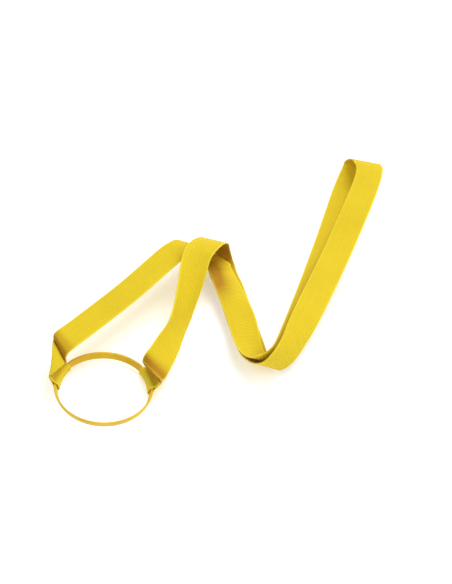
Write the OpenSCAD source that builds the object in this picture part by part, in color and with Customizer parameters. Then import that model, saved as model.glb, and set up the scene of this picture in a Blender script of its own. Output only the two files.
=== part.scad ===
// Drink-holder neck lanyard: one length of flat ribbed webbing laid in soft folds on a table,
// its two ends sewn round one flexible ring. The origin is the centre of the ring's bore.

/* [Webbing] */
// width of the webbing
strap_w = 20; // [15:1:25]
// thickness of one layer of webbing
strap_t = 1; // [0.8:0.1:1.6]
// rounding of the selvedge
selvedge = 0.3; // [0.1:0.05:0.4]

/* [Ring] */
// inner diameter of the ring
ring_bore = 60; // [55:1:75]
// radial thickness of the ring's band
band_t = 1.6; // [1:0.1:1.8]
// how much wider the ring is at its upper edge, in radius
band_flare = 1.2; // [0:0.1:1.4]
// height of the ring's band along its axis
band_h = 4.2; // [3:0.2:4.4]
// height of the ring's centre above the table
ring_rise = 7; // [6:0.5:12]
// how far the ring leans towards +X, in degrees
ring_roll = 5; // [0:1:15]
// how far the ring leans towards -Y, in degrees
ring_pitch = -3.5; // [-10:0.5:10]

/* [Sewn loops] */
// where the left loop sits round the ring, in degrees from +X
left_angle = 162; // [140:1:175]
// how far the left tab is lifted out of the ring's plane, in degrees
left_lift = 60; // [0:5:80]
// where the right loop sits round the ring, in degrees from +X
right_angle = 19; // [5:1:40]
// how far the right tab is lifted out of the ring's plane, in degrees
right_lift = 45; // [0:5:80]
// free space inside a loop, as a diameter
loop_bore = 6.6; // [5.6:0.1:7]
// from the middle of the loop's tunnel to the end of its sewn tab
tab_len = 8; // [7:0.5:14]
// hairline between the end of a tab and the strap that goes on from it
root_gap = 0.1; // [0.05:0.05:0.4]

/* [Stitching] */
// length of one stitch
stitch_len = 1.6; // [1:0.1:3]
// distance from one stitch to the next
stitch_pitch = 2.2; // [1.5:0.1:4]
// thickness of the thread
thread_d = 0.5; // [0.3:0.1:0.8]

/* [Hidden] */
$fn = 48;
band_r = ring_bore / 2 + (band_t + band_flare) / 2;
chord_r = sqrt(band_r * band_r - strap_w * strap_w / 4);
loop_r = (band_r + chord_r) / 2;
tab_t = 2 * strap_t;
loop_out = loop_bore + 2 * strap_t;
route_steps = 2;
seams = [4.6, 6.6];
yellow = [0.93, 0.78, 0.16];
ring_gold = [0.84, 0.68, 0.17];
thread_gold = [0.88, 0.72, 0.14];

// Middle of the webbing, with z above the table, and the direction across it.
route = [
    [[-34.3, 12, 19.3], [-0.5, -10, 0]], [[-33.4, 14.5, 20.6], [1.5, -9.8, 0]],
    [[-31.3, 20, 19.8], [3.4, -9.2, 0]], [[-30, 23.6, 18.6], [4.3, -9, 0]],
    [[-29.8, 25, 21.4], [4.8, -8.8, 0]], [[-27, 28.5, 23.3], [5.8, -8, 0]],
    [[-14, 44, 22], [8, -6, 0]],
    [[14, 76, 22], [8, -6, 0]], [[38, 106, 23], [8, -6, 0]], [[47, 115.5, 23.5], [8, -5, 0]],
    [[54.5, 123.3, 21.2], [9, -4, 0]], [[60, 127, 15], [9, -3.5, 0]], [[63, 127.5, 9.2], [9, -2.5, 0]],
    [[66.8, 124, 6.8], [9, -0.8, 0]], [[72.3, 117.8, 7.5], [9, 0.2, -1]],
    [[75.5, 111.5, 8.5], [9, 0.3, -2.5]], [[80.3, 98.5, 10], [9, 0.5, -3]], [[91, 64, 9], [9, 1, 0]],
    [[96, 39, 9], [9, 2, -3]], [[101, 26, 10], [8, 3, -5]], [[108, 19.5, 12.5], [7, 2, -7]],
    [[117, 23.5, 14], [7, 2.5, -6.8]], [[125, 37, 13.2], [7.6, 1.8, -5.2]],
    [[137, 76, 8], [10, -1, -1]],
    [[157, 147, 1], [10, -3, 0]], [[173, 202, 2], [10, -3, 0]], [[183, 221, 11], [10, -3, 0]],
    [[189, 213, 20], [10, -3, 0]], [[187, 192, 20], [10, -3, 0]], [[163, 129, 12], [10, 0, -1]],
    [[136, 58, 15], [8, 2, -3]], [[126, 33, 16], [7, 3, -6]], [[118, 20, 14], [7, 3, -7]],
    [[110, 17, 10], [7, 3, -7]], [[103, 26, 6], [8, 4, -5]], [[97, 46, 2], [9, 2, -1]],
    [[85, 94, 1], [9, 0, 0]], [[79.3, 113, 1], [9, -1.5, 0]], [[76.4, 125, 2.5], [9, -3, 0]],
    [[74.6, 131.2, 9.5], [9, -3, 0]], [[73.4, 128.3, 19.5], [9, -3, 0]], [[69.4, 121, 26], [9, -3, 0]],
    [[64, 112, 28.3], [9, -3.5, -1]], [[60, 103, 27], [8, -4, -3]],
    [[55, 80, 19], [7, 1, -6]], [[49.7, 58, 13], [5.8, 5, -6.4]], [[43.7, 41, 13], [6.6, 4, -6.3]],
    [[38.9, 26, 14], [7.4, 1, -6]], [[35, 15.5, 15], [6.6, -4.5, -4]],
    [[31.9, 8.2, 14.4], [5.6, -8, 1]], [[34.2, 11.6, 12.7], [4.6, -9, 0.5]],
    [[35.1, 12.5, 10.7], [3.8, -9.2, 0.2]]
];

function unit(v) = v / norm(v);

// a point of the ring's own frame, turned as the leaning ring is
function lean(p) =
    let (y = p.y * cos(ring_pitch) - p.z * sin(ring_pitch),
         z = p.y * sin(ring_pitch) + p.z * cos(ring_pitch))
    [p.x * cos(ring_roll) + z * sin(ring_roll), y, z * cos(ring_roll) - p.x * sin(ring_roll)];

// a point of a loop's own frame: +X along its tab, +Y along the tunnel
function in_loop(angle, lift, p) =
    let (x = loop_r + p.x * cos(lift) - p.z * sin(lift))
    lean([x * cos(angle) - p.y * sin(angle), x * sin(angle) + p.y * cos(angle),
        p.x * sin(lift) + p.z * cos(lift)]);

// a station at the end of the strap, half a gap beyond the end of a sewn tab
function root(angle, lift, side) =
    let (reach = tab_len + root_gap / 2, m = in_loop(angle, lift, [reach, 0, 0]))
    [m, side * (in_loop(angle, lift, [reach, 1, 0]) - m)];

stations = concat(
    [root(left_angle, left_lift, 1)],
    [for (s = route) [s[0] - [0, 0, ring_rise], unit(s[1])]],
    [root(right_angle, right_lift, -1)]);

function at(i) = stations[max(0, min(len(stations) - 1, i))];

// one smooth curve through the stations
function blend4(a, b, c, d, t) =
    (2 * b + (c - a) * t + (2 * a - 5 * b + 4 * c - d) * t * t
        + (3 * b - a - 3 * c + d) * t * t * t) / 2;

function along(k) =
    let (i = floor(k / route_steps), t = k / route_steps - i)
    [for (j = [0, 1]) blend4(at(i - 1)[j], at(i)[j], at(i + 1)[j], at(i + 2)[j], t)];

ring_count = (len(stations) - 1) * route_steps + 1;
path = [for (k = [0 : ring_count - 1]) along(k)];

function heading(k) =
    unit(path[min(k + 1, ring_count - 1)][0] - path[max(k - 1, 0)][0]);

// half of the webbing's width, measured square to its run
function half_across(k) =
    let (g = unit(path[k][1]), t = heading(k), square = g - (g * t) * t)
    g * strap_w / 2 / max(norm(square), 0.6);

// the webbing's cross-section, with rounded selvedges
profile = let (h = strap_t / 2, e = 1 - 2 * selvedge / strap_w) [
    [-1, -h + selvedge], [-e, -h], [e, -h], [1, -h + selvedge],
    [1, h - selvedge], [e, h], [-e, h], [-1, h - selvedge]];

function section(k) =
    let (a = half_across(k), n = unit(cross(heading(k), a)))
    [for (q = profile) path[k][0] + q.x * a + q.y * n];

module ribbon() {
    sides = len(profile);
    skin = [for (k = [0 : ring_count - 2], j = [0 : sides - 1])
        let (n = (j + 1) % sides, a = k * sides, b = a + sides)
        each [[a + j, b + j, b + n], [a + j, b + n, a + n]]];
    first_cap = [for (j = [0 : sides - 1]) j];
    last_cap = [for (j = [sides - 1 : -1 : 0]) (ring_count - 1) * sides + j];
    polyhedron([for (k = [0 : ring_count - 1]) each section(k)],
        concat([first_cap], skin, [last_cap]), convexity = 10);
}

// places a loop's own frame on the ring: +X along its tab, +Y along the tunnel
module at_loop(angle, lift)
    rotate([0, ring_roll, 0])
        rotate([ring_pitch, 0, 0])
            rotate([0, 0, angle])
                translate([loop_r, 0, 0])
                    rotate([0, -lift, 0])
                        children();

module tunnel(d, reach, thick, length) {
    hull() {
        rotate([90, 0, 0])
            cylinder(d = d, h = length, center = true);
        translate([reach - 0.05, 0, 0])
            cube([0.1, length, thick], center = true);
    }
}

// one end of the webbing, folded round the ring's band and back on itself
module sewn_loop() {
    tab_start = loop_out / 2 + 0.4;
    difference() {
        union() {
            tunnel(loop_out, tab_start, tab_t, strap_w);
            translate([tab_start - 0.1, -strap_w / 2, -tab_t / 2])
                cube([tab_len - root_gap / 2 - tab_start + 0.1, strap_w, tab_t]);
        }
        rotate([90, 0, 0])
            cylinder(d = loop_bore, h = strap_w + 2, center = true);
    }
}

// rows of thread that hold the folded end, on both faces of the tab
module stitch_rows() {
    count = floor((strap_w - 2) / stitch_pitch);
    for (x = seams, i = [0 : count - 1], side = [-1, 1])
        translate([x, (i - (count - 1) / 2) * stitch_pitch, side * tab_t / 2])
            cube([thread_d, stitch_len, thread_d], center = true);
}

module strap() {
    color(yellow)
        ribbon();
}

module left_loop() {
    color(yellow)
        at_loop(left_angle, left_lift)
            sewn_loop();
}

module right_loop() {
    color(yellow)
        at_loop(right_angle, right_lift)
            sewn_loop();
}

module left_stitching() {
    color(thread_gold)
        at_loop(left_angle, left_lift)
            stitch_rows();
}

module right_stitching() {
    color(thread_gold)
        at_loop(right_angle, right_lift)
            stitch_rows();
}

module ring() {
    color(ring_gold)
        rotate([0, ring_roll, 0])
            rotate([ring_pitch, 0, 0])
                rotate_extrude($fn = 128)
                    translate([ring_bore / 2, 0])
                        band_profile();
}

module band_profile() {
    edge = 0.4;
    hull()
        for (x = [edge, band_t - edge], y = [-1, 1])
            translate([x + (y + 1) / 2 * band_flare, y * (band_h / 2 - edge)])
                circle(edge, $fn = 12);
}

strap();
left_loop();
right_loop();
left_stitching();
right_stitching();
ring();
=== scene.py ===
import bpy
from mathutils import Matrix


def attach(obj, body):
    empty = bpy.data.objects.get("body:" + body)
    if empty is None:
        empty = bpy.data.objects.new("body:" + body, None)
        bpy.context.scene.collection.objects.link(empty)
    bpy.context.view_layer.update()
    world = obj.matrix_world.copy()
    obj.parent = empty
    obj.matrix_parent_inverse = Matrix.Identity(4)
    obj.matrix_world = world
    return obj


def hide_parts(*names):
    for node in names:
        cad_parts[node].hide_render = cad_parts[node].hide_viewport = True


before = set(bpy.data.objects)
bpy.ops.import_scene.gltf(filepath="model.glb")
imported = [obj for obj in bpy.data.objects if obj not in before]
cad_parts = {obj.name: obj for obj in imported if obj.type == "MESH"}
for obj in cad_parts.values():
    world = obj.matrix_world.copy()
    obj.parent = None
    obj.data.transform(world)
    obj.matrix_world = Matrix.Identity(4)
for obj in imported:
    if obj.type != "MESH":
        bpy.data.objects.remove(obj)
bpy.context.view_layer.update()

from math import cos, exp, pi, radians, sin, sqrt

import bpy
from mathutils import Matrix, Vector
from mathutils.bvhtree import BVHTree

# A drink holder's neck lanyard: ribbed webbing lying in soft folds on a table, with both
# ends sewn round one flexible ring. Metres; the origin is the centre of the ring's bore.

MM = 0.001
STRAP_W = 20 * MM
STRAP_T = 1.0 * MM
RING_BORE = 60 * MM
BAND_T = 1.6 * MM
BAND_H = 4.2 * MM
BAND_FLARE = 1.2 * MM
RING_RISE = 7.0 * MM
RING_ROLL = radians(5)
RING_PITCH = radians(-3.5)
TAB_LEN = 8 * MM
ROOT_GAP = 0.1 * MM
# where each loop sits round the ring, and how far its tab is lifted out of the ring's plane
LEFT = (radians(162), radians(60))
RIGHT = (radians(19), radians(45))

BAND_R = RING_BORE / 2 + (BAND_T + BAND_FLARE) / 2
LOOP_R = (BAND_R + sqrt(BAND_R ** 2 - STRAP_W ** 2 / 4)) / 2
LEAN = Matrix.Rotation(RING_ROLL, 3, "Y") @ Matrix.Rotation(RING_PITCH, 3, "X")

# Middle of the webbing in mm, with z above the table, and the direction across it.
ROUTE = [
    # up from the left loop and over the steep fold beside it
    ((-34.3, 12, 19.3), (-0.5, -10, 0)), ((-33.4, 14.5, 20.6), (1.5, -9.8, 0)),
    ((-31.3, 20, 19.8), (3.4, -9.2, 0)), ((-30, 23.6, 18.6), (4.3, -9, 0)),
    ((-29.8, 25, 21.4), (4.8, -8.8, 0)), ((-27, 28.5, 23.3), (5.8, -8, 0)),
    # the first strand, straight to the arch
    ((-14, 44, 22), (8, -6, 0)), ((14, 76, 22), (8, -6, 0)), ((38, 106, 23), (8, -6, 0)),
    # down inside the arch
    ((47, 115.5, 23.5), (8, -5, 0)), ((54.5, 123.3, 21.2), (9, -4, 0)),
    ((60, 127, 15), (9, -3.5, 0)), ((63, 127.5, 9.2), (9, -2.5, 0)),
    ((66.8, 124, 6.8), (9, -0.8, 0)), ((72.3, 117.8, 7.5), (9, 0.2, -1)),
    # the middle leg's upper layer
    ((75.5, 111.5, 8.5), (9, 0.3, -2.5)), ((80.3, 98.5, 10), (9, 0.5, -3)),
    ((91, 64, 9), (9, 1, 0)), ((96, 39, 9), (9, 2, -3)),
    # inside the lower fold
    ((101, 26, 10), (8, 3, -5)), ((108, 19.5, 12.5), (7, 2, -7)),
    ((117, 23.5, 14), (7, 2.5, -6.8)), ((125, 37, 13.2), (7.6, 1.8, -5.2)),
    # out to the long bight, round it, and back on top
    ((137, 76, 8), (10, -1, -1)), ((157, 147, 1), (10, -3, 0)), ((173, 202, 2), (10, -3, 0)),
    ((183, 221, 11), (10, -3, 0)), ((189, 213, 20), (10, -3, 0)),
    ((187, 192, 20), (10, -3, 0)), ((163, 129, 12), (10, 0, -1)), ((136, 58, 15), (8, 2, -3)),
    # outside the lower fold
    ((126, 33, 16), (7, 3, -6)), ((118, 20, 14), (7, 3, -7)), ((110, 17, 10), (7, 3, -7)),
    ((103, 26, 6), (8, 4, -5)),
    # the middle leg's lower layer
    ((97, 46, 2), (9, 2, -1)), ((85, 94, 1), (9, 0, 0)), ((79.3, 113, 1), (9, -1.5, 0)),
    ((76.4, 125, 2.5), (9, -3, 0)),
    # over the arch
    ((74.6, 131.2, 9.5), (9, -3, 0)), ((73.4, 128.3, 19.5), (9, -3, 0)),
    ((69.4, 121, 26), (9, -3, 0)), ((64, 112, 28.3), (9, -3.5, -1)), ((60, 103, 27), (8, -4, -3)),
    # the last strand, down to the right loop
    ((55, 80, 19), (7, 1, -6)), ((49.7, 58, 13), (5.8, 5, -6.4)),
    ((43.7, 41, 13), (6.6, 4, -6.3)), ((38.9, 26, 14), (7.4, 1, -6)),
    # the tight crease beside the right loop
    ((35, 15.5, 15), (6.6, -4.5, -4)), ((31.9, 8.2, 14.4), (5.6, -8, 1)),
    ((34.2, 11.6, 12.7), (4.6, -9, 0.5)), ((35.1, 12.5, 10.7), (3.8, -9.2, 0.2)),
]

# ---------------------------------------------------------------- camera

TARGET = Vector((0.081, 0.096, -RING_RISE))
DISTANCE = 0.985
ELEVATION = radians(46)

camera = bpy.data.objects.new("camera", bpy.data.cameras.new("camera"))
camera.data.sensor_fit = "VERTICAL"
camera.data.sensor_height = 36
camera.data.lens = 85
camera.location = TARGET + DISTANCE * Vector((0, -cos(ELEVATION), sin(ELEVATION)))
camera.rotation_euler = (pi / 2 - ELEVATION, 0, 0)
bpy.context.scene.collection.objects.link(camera)
bpy.context.scene.camera = camera

# ---------------------------------------------------------------- the webbing's run

FINE = 60  # samples between two stations, before the run is cut into even rows
ROW_GAP = 0.8 * MM


def loop_place(angle, lift):
    """Turns a loop's own place into the object's: +Y along the tunnel, +X along its tab."""
    turn = LEAN @ Matrix.Rotation(angle, 3, "Z")
    tilt = Matrix.Rotation(-lift, 3, "Y")
    return lambda p: turn @ (tilt @ Vector(p) + Vector((LOOP_R, 0, 0)))


def root(loop, side):
    """The strap's end, half a gap beyond the end of a sewn tab, and the direction across it."""
    place = loop_place(*loop)
    reach = TAB_LEN + ROOT_GAP / 2
    middle = place((reach, 0, 0))
    return middle, side * (place((reach, 1, 0)) - middle).normalized()


def on_table(point):
    """A place in mm above the table, as a place in the object's own metres."""
    return Vector(point) * MM - Vector((0, 0, RING_RISE))


stations = [root(LEFT, 1)]
stations += [(on_table(point), Vector(ruling).normalized()) for point, ruling in ROUTE]
stations.append(root(RIGHT, -1))


def at(i):
    return stations[max(0, min(len(stations) - 1, i))]


def blend4(a, b, c, d, t):
    """The smooth curve from b to c, with its neighbours a and d."""
    return (2 * b + (c - a) * t + (2 * a - 5 * b + 4 * c - d) * t * t
            + (3 * b - a - 3 * c + d) * t * t * t) / 2


def spline(u):
    """Middle and ruling at u, which counts stations."""
    i = min(int(u), len(stations) - 2)
    t = u - i
    return tuple(blend4(at(i - 1)[j], at(i)[j], at(i + 1)[j], at(i + 2)[j], t) for j in (0, 1))


def headed(run):
    """Rows (middle, ruling, heading, distance along) from a run without its headings."""
    last = len(run) - 1
    found = []
    for n, (middle, ruling, s) in enumerate(run):
        heading = (run[min(n + 1, last)][0] - run[max(n - 1, 0)][0]).normalized()
        found.append((middle, ruling, heading, s))
    return found


def even_rows():
    """Rows at an even distance along the strap."""
    samples = [spline(k / FINE) for k in range((len(stations) - 1) * FINE + 1)]
    along = [0.0]
    for a, b in zip(samples, samples[1:]):
        along.append(along[-1] + (b[0] - a[0]).length)
    count = round(along[-1] / ROW_GAP)
    run = []
    k = 0
    for n in range(count + 1):
        s = along[-1] * n / count
        while k < len(along) - 2 and along[k + 1] < s:
            k += 1
        f = (s - along[k]) / (along[k + 1] - along[k])
        middle = samples[k][0].lerp(samples[k + 1][0], f)
        ruling = samples[k][1].lerp(samples[k + 1][1], f).normalized()
        run.append((middle, ruling, s))
    return headed(run)


# ---------------------------------------------------------------- the webbing's mesh

ACROSS = 12             # steps across each face
BACK = ACROSS + 4       # where the back's points start in the section
SELVEDGE = 0.9          # how far the rounded edge reaches, in half thicknesses
ROUND_OUT = 0.7         # the round's middle point: its share of that reach,
ROUND_UP = 0.72         # and its share of the half thickness
LEAST_SQUARE = 0.85     # a row that lies more aslant than this is widened no further
BEND_REACH = 2          # rows on each side that a bend is measured over
FULL_BEND = 400         # bend of a full crease, in 1/m


def webbing_profile():
    """The webbing's section: where each point is across (-1 to 1) and how high it stands."""
    h = STRAP_T / 2
    flat = 1 - SELVEDGE * h / (STRAP_W / 2)
    near = flat + (1 - flat) * ROUND_OUT
    face = [(-flat + 2 * flat * k / ACROSS, h) for k in range(ACROSS + 1)]
    turn = [(near, h * ROUND_UP), (1, 0.0), (near, -h * ROUND_UP)]
    back = [(v, -z) for v, z in reversed(face)]
    return face + turn + back + [(-v, -z) for v, z in turn]


def new_object(name, verts, faces, weave, painted_fold_shade):
    mesh = bpy.data.meshes.new(name)
    mesh.from_pydata([tuple(v) for v in verts], [], faces)
    attribute = mesh.attributes.new("weave", "FLOAT_VECTOR", "POINT")
    for k, value in enumerate(weave):
        attribute.data[k].vector = value
    attribute = mesh.attributes.new("painted_fold_shade", "FLOAT", "POINT")
    for k, value in enumerate(painted_fold_shade):
        attribute.data[k].value = value
    for polygon in mesh.polygons:
        polygon.use_smooth = True
    obj = bpy.data.objects.new(name, mesh)
    bpy.context.scene.collection.objects.link(obj)
    return obj


def bends(rows):
    """How tightly the run bends at each row, in 1/m, with its sign seen from the normal side."""
    found = []
    for k in range(len(rows)):
        a = rows[max(k - BEND_REACH, 0)]
        b = rows[min(k + BEND_REACH, len(rows) - 1)]
        gap = max(b[3] - a[3], 1e-6)
        normal = rows[k][2].cross(rows[k][1]).normalized()
        found.append((b[2] - a[2]).dot(normal) / gap)
    return found


def webbing(name, rows):
    """A band of webbing through rows. weave holds, in metres, where each point is across the
    webbing and along it, as woven, so the ribs stay square to the run where the band twists.
    Each point's painted fold shade grows with how deep in a fold it lies, and is less than 0 on
    the outside of a fold."""
    profile = webbing_profile()
    verts, weave, painted_fold_shade, faces = [], [], [], []
    for (middle, ruling, heading, s), bend in zip(rows, bends(rows)):
        lengthwise = ruling.dot(heading)
        square = ruling - lengthwise * heading
        half = STRAP_W / 2 / max(square.length, LEAST_SQUARE)
        normal = heading.cross(ruling).normalized()
        for v, z in profile:
            verts.append(middle + ruling * (half * v) + normal * z)
            weave.append((half * v * square.length, s + half * v * lengthwise, 0.0))
            # painted shade on the inside of a bend; on the outside the value is below 0, which
            # makes it paler
            painted_fold_shade.append(bend / FULL_BEND * (1 if z > 0 else -1))
    n = len(profile)
    for k in range(len(rows) - 1):
        for j in range(n):
            a, b, c = k * n + j, k * n + (j + 1) % n, (k + 1) * n
            faces.append((a, c + j, c + (j + 1) % n, b))
    # each end is closed with corners of its own, so the sides stay smooth up to it
    for first, step in ((0, 1), ((len(rows) - 1) * n, -1)):
        start = len(verts)
        for j in range(n):
            for values in (verts, weave, painted_fold_shade):
                values.append(values[first + j])
        faces.append(tuple(start + j for j in range(n))[::step])
    return new_object(name, verts, faces, weave, painted_fold_shade)


# ---------------------------------------------------------------- materials


class Nodes:
    """Short calls for building a shader."""

    def __init__(self, name):
        self.material = bpy.data.materials.new(name)
        self.material.use_nodes = True
        self.tree = self.material.node_tree
        self.shader = self.tree.nodes["Principled BSDF"]

    def make(self, kind, out=0, inputs=None, **settings):
        node = self.tree.nodes.new(kind)
        for key, value in settings.items():
            setattr(node, key, value)
        for key, value in (inputs or {}).items():
            self.feed(node.inputs[key], value)
        return node.outputs[out]

    def feed(self, socket, value):
        if isinstance(value, bpy.types.NodeSocket):
            self.tree.links.new(value, socket)
        else:
            socket.default_value = value

    def surface(self, values):
        """Feeds the shader's own sockets, by name."""
        for key, value in values.items():
            self.feed(self.shader.inputs[key], value)

    def math(self, operation, a, b=0.0, c=0.0):
        return self.make("ShaderNodeMath", inputs={0: a, 1: b, 2: c}, operation=operation)

    def wave(self, distance, period):
        """A wave from 0 to 1, which is 1 at every whole period."""
        phase = self.math("MULTIPLY", distance, 2 * pi / period)
        return self.math("MULTIPLY_ADD", self.math("COSINE", phase), 0.5, 0.5)

    def noise(self, vector, scale, detail=3.0):
        return self.make("ShaderNodeTexNoise", inputs={
            "Vector": vector, "Scale": scale, "Detail": detail, "Roughness": 0.55})

    def ramp(self, value, low, high, out_low=0.0, out_high=1.0):
        return self.make("ShaderNodeMapRange", inputs={
            "Value": value, "From Min": low, "From Max": high,
            "To Min": out_low, "To Max": out_high})

    def mix(self, factor, a, b):
        node = self.tree.nodes.new("ShaderNodeMix")
        node.data_type = "RGBA"
        self.feed(node.inputs["Factor"], factor)
        self.feed(node.inputs[6], a)
        self.feed(node.inputs[7], b)
        return node.outputs[2]

    def bump(self, height, distance, strength, normal=None):
        inputs = {"Height": height, "Distance": distance, "Strength": strength}
        if normal is not None:
            inputs["Normal"] = normal
        return self.make("ShaderNodeBump", inputs=inputs)


RIB = 1.3 * MM
RIB_WANDER = 0.5 * MM
RIB_DEPTH = 0.22 * MM
YARN = 0.5 * MM
YARN_DEPTH = 0.05 * MM
FUZZ_DEPTH = 0.04 * MM
EDGE_FROM = STRAP_W / 2 - 1.2 * MM
EDGE_TO = STRAP_W / 2 - 0.3 * MM


def webbing_material(name, light, deep, fold, pale):
    """Ribbed webbing: round ribs square to the run, fine lengthwise yarns, slow changes of
    shade, painted shade in the grooves and inside folds, paler outside folds, and a painted
    highlight along the selvedge."""
    m = Nodes(name)
    weave = m.make("ShaderNodeAttribute", out="Vector", attribute_name="weave")
    across = m.make("ShaderNodeSeparateXYZ", out="X", inputs={0: weave})
    along = m.make("ShaderNodeSeparateXYZ", out="Y", inputs={0: weave})
    painted_fold_shade = m.make("ShaderNodeAttribute", out="Fac", attribute_name="painted_fold_shade")
    where = m.make("ShaderNodeTexCoord", out="Object")

    wander = m.math("MULTIPLY", m.math("SUBTRACT", m.noise(where, 160.0), 0.5), RIB_WANDER)
    rib = m.math("POWER", m.wave(m.math("ADD", along, wander), RIB), 0.6)
    yarn = m.wave(across, YARN)
    fuzz = m.noise(where, 2600.0, 2.0)
    edge = m.ramp(m.math("ABSOLUTE", across), EDGE_FROM, EDGE_TO)
    shade = m.noise(where, 38.0, 2.0)
    streak = m.noise(m.make("ShaderNodeCombineXYZ", inputs={
        "X": m.math("MULTIPLY", across, 900.0), "Y": m.math("MULTIPLY", along, 14.0)}), 1.0, 2.0)

    # painted shade: the tone is darker in the grooves between the ribs and between the yarns
    tone = m.math("MULTIPLY_ADD", rib, 0.42, m.math("MULTIPLY", yarn, 0.16))
    tone = m.math("ADD", tone, m.math("MULTIPLY_ADD", shade, 0.34, -0.06))
    tone = m.math("ADD", tone, m.math("MULTIPLY_ADD", streak, 0.22, -0.11))
    tone = m.math("ADD", tone, m.math("MULTIPLY_ADD", fuzz, 0.24, -0.12))
    # painted highlight: the tone is lighter along the selvedge
    tone = m.math("ADD", tone, m.math("MULTIPLY", edge, 0.3))
    colour = m.mix(m.ramp(tone, 0.05, 0.85), deep, light)
    # painted shade: the fold shade darkens the colour towards the fold colour in folds, recesses
    # and the listed shaded places
    colour = m.mix(m.ramp(painted_fold_shade, 0.1, 1.1, 0.0, 0.85), colour, fold)
    # paler on the rib crests on the outside of folds
    paler_outside_folds = m.math("MULTIPLY", m.ramp(painted_fold_shade, -0.2, -0.9), m.math("MULTIPLY", rib, 0.35))
    colour = m.mix(paler_outside_folds, colour, pale)
    # painted highlight along the selvedge, mixed towards the pale colour
    colour = m.mix(m.math("MULTIPLY", edge, 0.35), colour, pale)

    rough = m.math("MULTIPLY_ADD", rib, -0.12, m.math("MULTIPLY_ADD", fuzz, 0.2, 0.62))
    normal = m.bump(rib, RIB_DEPTH, 0.9)
    normal = m.bump(yarn, YARN_DEPTH, 0.7, normal)
    normal = m.bump(fuzz, FUZZ_DEPTH, 0.6, normal)
    m.surface({"Base Color": colour, "Roughness": rough, "Normal": normal,
               "Specular IOR Level": 0.22, "Sheen Weight": 0.08, "Sheen Roughness": 0.45,
               "Sheen Tint": (1.0, 0.86, 0.35, 1)})
    return m.material


def rubber_material(name, light, deep):
    """Moulded flexible plastic: satin, faintly mottled, with fine scuffs."""
    m = Nodes(name)
    where = m.make("ShaderNodeTexCoord", out="Object")
    mottle = m.noise(where, 55.0, 4.0)
    grain = m.noise(where, 900.0)
    scuff_at = m.make("ShaderNodeMapping", inputs={"Vector": where, "Scale": (60, 60, 1400)})
    scuff = m.ramp(m.noise(scuff_at, 1.0, 4.0), 0.6, 0.78)

    tone = m.ramp(m.math("MULTIPLY_ADD", grain, 0.3, mottle), 0.35, 0.95)
    rough = m.math("MULTIPLY_ADD", mottle, 0.2, 0.36)
    rough = m.math("MULTIPLY_ADD", scuff, 0.18, rough)
    normal = m.bump(grain, 0.03 * MM, 0.4)
    normal = m.bump(scuff, 0.02 * MM, 0.5, normal)
    m.surface({"Base Color": m.mix(tone, deep, light), "Roughness": rough, "Normal": normal,
               "Specular IOR Level": 0.3, "Coat Weight": 0.05, "Coat Roughness": 0.25,
               "Subsurface Weight": 0.08, "Subsurface Radius": (0.004, 0.0025, 0.0006)})
    return m.material


def thread_material(name, light, deep):
    """Twisted sewing thread."""
    m = Nodes(name)
    where = m.make("ShaderNodeTexCoord", out="Object")
    twist = m.make("ShaderNodeTexWave", out=1, wave_type="BANDS", bands_direction="DIAGONAL",
                   inputs={"Vector": where, "Scale": 900.0, "Distortion": 0.6})
    m.surface({"Base Color": m.mix(twist, deep, light),
               "Roughness": m.math("MULTIPLY_ADD", twist, -0.15, 0.6),
               "Normal": m.bump(twist, 0.06 * MM, 0.8), "Sheen Weight": 0.2})
    return m.material


YELLOW = (0.86, 0.67, 0.012, 1)
YELLOW_DEEP = (0.62, 0.42, 0.005, 1)
# the colour of the painted shade in folds
YELLOW_PAINTED_SHADE = (0.40, 0.155, 0.001, 1)
YELLOW_PALE = (0.92, 0.78, 0.08, 1)
GOLD = (0.80, 0.54, 0.012, 1)
GOLD_DEEP = (0.62, 0.37, 0.006, 1)
THREAD = (0.80, 0.55, 0.03, 1)
THREAD_DEEP = (0.45, 0.27, 0.01, 1)

webbing_look = webbing_material("webbing", YELLOW, YELLOW_DEEP, YELLOW_PAINTED_SHADE, YELLOW_PALE)
ring_look = rubber_material("ring_rubber", GOLD, GOLD_DEEP)
thread_look = thread_material("thread", THREAD, THREAD_DEEP)

# ---------------------------------------------------------------- the strap

rows = even_rows()
strap = webbing("strap_webbing", rows)
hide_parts("strap")

# ---------------------------------------------------------------- sewn loops

TUNNEL_HALF_W = 1.9 * MM    # to the middle of the webbing round the ring's band
TUNNEL_HALF_H = 2.85 * MM
TUNNEL_POWER = 3            # 2 would be an ellipse, and more is squarer
TUNNEL_STEPS = 40
TAB_MOUTH = radians(34)     # half the angle that the tab takes of the tunnel
TAB_START = 4.0 * MM        # where the tab's two layers lie flat on each other
TAB_STEP = 0.4 * MM
SOFTENINGS = 5
FOLLOW_END = 4.2 * MM       # past here the webbing no longer follows the ring round
FOLLOW_FADE = 2.5 * MM


def smooth_line(line, passes):
    for _ in range(passes):
        inner = [tuple((a[j] + 2 * b[j] + c[j]) / 4 for j in (0, 1))
                 for a, b, c in zip(line, line[1:], line[2:])]
        line = [line[0]] + inner + [line[-1]]
    return line


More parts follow.
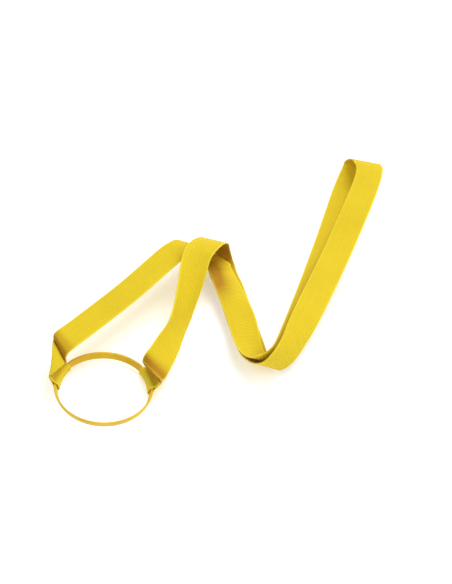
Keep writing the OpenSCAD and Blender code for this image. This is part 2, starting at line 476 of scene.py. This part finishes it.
def loop_line(lift):
    """The folded end of the webbing seen from its edge, as (outwards, up) from the middle of
    the tunnel: down one layer of the tab, snugly round the ring's band, back up the other."""
    slant = BAND_FLARE / BAND_H
    layer = STRAP_T / 2
    tab = []
    reach = TAB_LEN - ROOT_GAP / 2
    while reach > TAB_START:
        tab.append(reach)
        reach -= TAB_STEP

    def on_tab(x, side):
        return (x * cos(lift) - side * layer * sin(lift), x * sin(lift) + side * layer * cos(lift))

    around = []
    for k in range(TUNNEL_STEPS + 1):
        a = lift + TAB_MOUTH + (2 * pi - 2 * TAB_MOUTH) * k / TUNNEL_STEPS
        wide = abs(cos(a) / TUNNEL_HALF_W) ** TUNNEL_POWER
        high = abs(sin(a) / TUNNEL_HALF_H) ** TUNNEL_POWER
        size = (wide + high) ** (-1 / TUNNEL_POWER)
        around.append((size * cos(a) + slant * size * sin(a), size * sin(a)))
    line = [on_tab(x, 1) for x in tab] + around + [on_tab(x, -1) for x in reversed(tab)]
    return smooth_line(line, SOFTENINGS)


def sewn_loop(name, loop, node):
    angle, lift = loop
    turn = LEAN @ Matrix.Rotation(angle, 3, "Z")
    middle = Vector((LOOP_R, 0, 0))
    across = turn @ Vector((0, 1, 0))
    run = []
    s = 0.0
    for x, z in loop_line(lift):
        place = turn @ (middle + Vector((x, 0, z)))
        s += (place - run[-1][0]).length if run else 0.0
        run.append((place, across, s))
    obj = webbing(name, headed(run))
    back = turn.inverted()
    for vertex in obj.data.vertices:
        # the tunnel follows the ring's band round, and the tab stays flat
        q = back @ vertex.co - middle
        out = q.x * cos(lift) + q.z * sin(lift)
        follow = max(0.0, min(1.0, (FOLLOW_END - out) / FOLLOW_FADE))
        q.x += follow * (sqrt(BAND_R ** 2 - q.y ** 2) - LOOP_R)
        vertex.co = turn @ (q + middle)
    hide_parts(node)
    return obj


left_loop = sewn_loop("left_loop_webbing", LEFT, "left_loop")
right_loop = sewn_loop("right_loop_webbing", RIGHT, "right_loop")

# ---------------------------------------------------------------- painted shade in the folds

RAYS = 28               # rays sent from each tested point
RAY_LENGTH = 24 * MM
RAY_START = 0.35 * MM   # clear of the face that the ray leaves
SPACING = 2             # rows from one tested row to the next
OPEN = 0.12             # the share of rays that may be stopped where there is no shade yet
RAY_STRENGTH = 1.15
SHADE_LEAD = 0.12       # how much of its reach a one-way shade starts before its place

# Shade painted where the webbing lies in the shade of a fold: the middle's place in mm above
# the table, which way along the run the shade goes (0 for both) and how far it reaches in mm,
# where across the webbing it starts and how far across it reaches, the face, and how strong
# it is.
PAINTED_SHADES = [
    ((-30, 23.6, 18.6), 1, 8, 0, 9, -1, 2.2),
    ((32.5, 9.8, 14.7), 0, 7.5, 0, 9, 1, 1.4),
    ((31.9, 8.2, 14.4), 1, 3.5, 0, 9, 1, 1.6),
    ((78, 103, 9), 0, 20, -0.9, 1.0, 1, 1.8),
    ((71, 126, 20), 0, 20, 0, 9, -1, 1.6),
]


def shade(obj, rows):
    """Adds the painted shade of each listed place to an object's painted fold shade."""
    painted_fold_shade = obj.data.attributes["painted_fold_shade"].data
    profile = webbing_profile()
    for place, way, reach, side, wide, face, strength in PAINTED_SHADES:
        aim = on_table(place)
        middle = min(rows, key=lambda row: (row[0] - aim).length)[3]
        for k, row in enumerate(rows):
            gap = (row[3] - middle) / (reach * MM)
            if way and gap * way < -SHADE_LEAD:
                continue
            for j, (v, z) in enumerate(profile):
                if z * face > 0:
                    off = (v - side) / wide
                    painted_fold_shade[k * len(profile) + j].value += strength * exp(-gap * gap - off * off)


def spread(n):
    """Directions over the half ball round +Z, closer together towards its middle."""
    turn = pi * (3 - sqrt(5))
    found = []
    for k in range(n):
        away = sqrt((k + 0.5) / n)
        found.append(Vector((away * cos(turn * k), away * sin(turn * k), sqrt(1 - away * away))))
    return found


def tree_of(obj):
    mesh = obj.data
    return BVHTree.FromPolygons([v.co for v in mesh.vertices],
                                [tuple(p.vertices) for p in mesh.polygons])


def stopped(vertex, directions, trees):
    """The share of rays from a point that meet the webbing."""
    aim = vertex.normal.to_track_quat("Z", "Y")
    start = vertex.co + vertex.normal * RAY_START
    hits = 0
    for direction in directions:
        ray = aim @ direction
        hits += any(tree.ray_cast(start, ray, RAY_LENGTH)[0] is not None for tree in trees)
    return hits / len(directions)


def across_face(three, place):
    """Between three values, which are at one edge, in the middle and at the other edge."""
    v = 2 * max(0.0, min(1.0, place))
    if v < 1:
        return three[0] + (three[1] - three[0]) * v
    return three[1] + (three[2] - three[1]) * (v - 1)


def paint_occlusion_shade(obj, trees):
    """Adds painted shade to an object's fold shade for how far each point lies inside folds, from
    the layers around it. Three points on each face are tested, and the others lie between them."""
    mesh = obj.data
    points = len(webbing_profile())
    row_count = len(mesh.vertices) // points - 2
    picks = [start + j for start in (0, BACK) for j in (1, ACROSS // 2, ACROSS - 1)]
    directions = spread(RAYS)
    depth = {(k, j): stopped(mesh.vertices[k * points + j], directions, trees)
             for k in range(0, row_count, SPACING) for j in picks}
    last = (row_count - 1) // SPACING * SPACING

    def smooth(k, j):
        near = [depth[max(0, min(last, k + SPACING * n)), j] for n in (-2, -1, 0, 1, 2)]
        return sum(near) / len(near)

    painted_fold_shade = mesh.attributes["painted_fold_shade"].data
    for k in range(row_count):
        base = min(k // SPACING * SPACING, last)
        f = min((k - base) / SPACING, 1)
        value = []
        for j in picks:
            here, ahead = smooth(base, j), smooth(min(base + SPACING, last), j)
            value.append(here + (ahead - here) * f)
        for j in range(points):
            if j <= ACROSS + 1:
                stop = across_face(value[:3], j / ACROSS)
            else:
                stop = across_face(value[3:], (j - BACK) / ACROSS)
            painted_fold_shade[k * points + j].value += RAY_STRENGTH * max(stop - OPEN, 0.0)


# painted shade at the listed places
shade(strap, rows)
# painted shade where the webbing's own layers enclose a point, found by rays
trees = [tree_of(obj) for obj in (strap, left_loop, right_loop)]
for obj in (strap, left_loop, right_loop):
    paint_occlusion_shade(obj, trees)
    obj.data.materials.append(webbing_look)
    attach(obj, "strap")

# ---------------------------------------------------------------- pieces kept from the CAD

for node, look in (("ring", ring_look), ("left_stitching", thread_look),
                   ("right_stitching", thread_look)):
    for slot in bpy.data.objects[node].material_slots:
        slot.material = look

# ---------------------------------------------------------------- floor and light

FLOOR_SIDE = 12.0
FLOOR_GAP = 0.2 * MM
LIGHT_AIM = Vector((0.08, 0.1, 0.0))

corners = [(x * FLOOR_SIDE / 2, y * FLOOR_SIDE / 2, 0)
           for x, y in ((-1, -1), (1, -1), (1, 1), (-1, 1))]
floor_mesh = bpy.data.meshes.new("floor")
floor_mesh.from_pydata(corners, [], [(0, 1, 2, 3)])
floor = bpy.data.objects.new("floor", floor_mesh)
floor.location.z = -RING_RISE - FLOOR_GAP
bpy.context.scene.collection.objects.link(floor)
# the floor gives a little light of its own, which weakens the shadows on it
floor_look = Nodes("floor")
floor_look.surface({"Base Color": (0.9, 0.9, 0.9, 1), "Roughness": 0.85, "Specular IOR Level": 0.1,
                    "Emission Color": (1, 1, 1, 1), "Emission Strength": 0.3})
floor_mesh.materials.append(floor_look.material)


def soft_light(name, power, size, place):
    lamp = bpy.data.objects.new(name, bpy.data.lights.new(name, "AREA"))
    lamp.data.energy = power
    lamp.data.size = size
    lamp.location = place
    lamp.rotation_euler = (LIGHT_AIM - Vector(place)).to_track_quat("-Z", "Y").to_euler()
    bpy.context.scene.collection.objects.link(lamp)


soft_light("key", 20, 1.2, (0.55, 0.95, 1.5))
soft_light("right", 8, 1.4, (1.4, -0.3, 1.1))
soft_light("left", 4, 2.0, (-1.2, -0.4, 1.4))
soft_light("front", 1.5, 1.6, (0.3, -1.5, 1.0))

world = bpy.data.worlds.new("studio")
world.use_nodes = True
world.node_tree.nodes["Background"].inputs["Color"].default_value = (1, 1, 1, 1)
world.node_tree.nodes["Background"].inputs["Strength"].default_value = 0.55
bpy.context.scene.world = world
bpy.context.scene.view_settings.view_transform = "Standard"
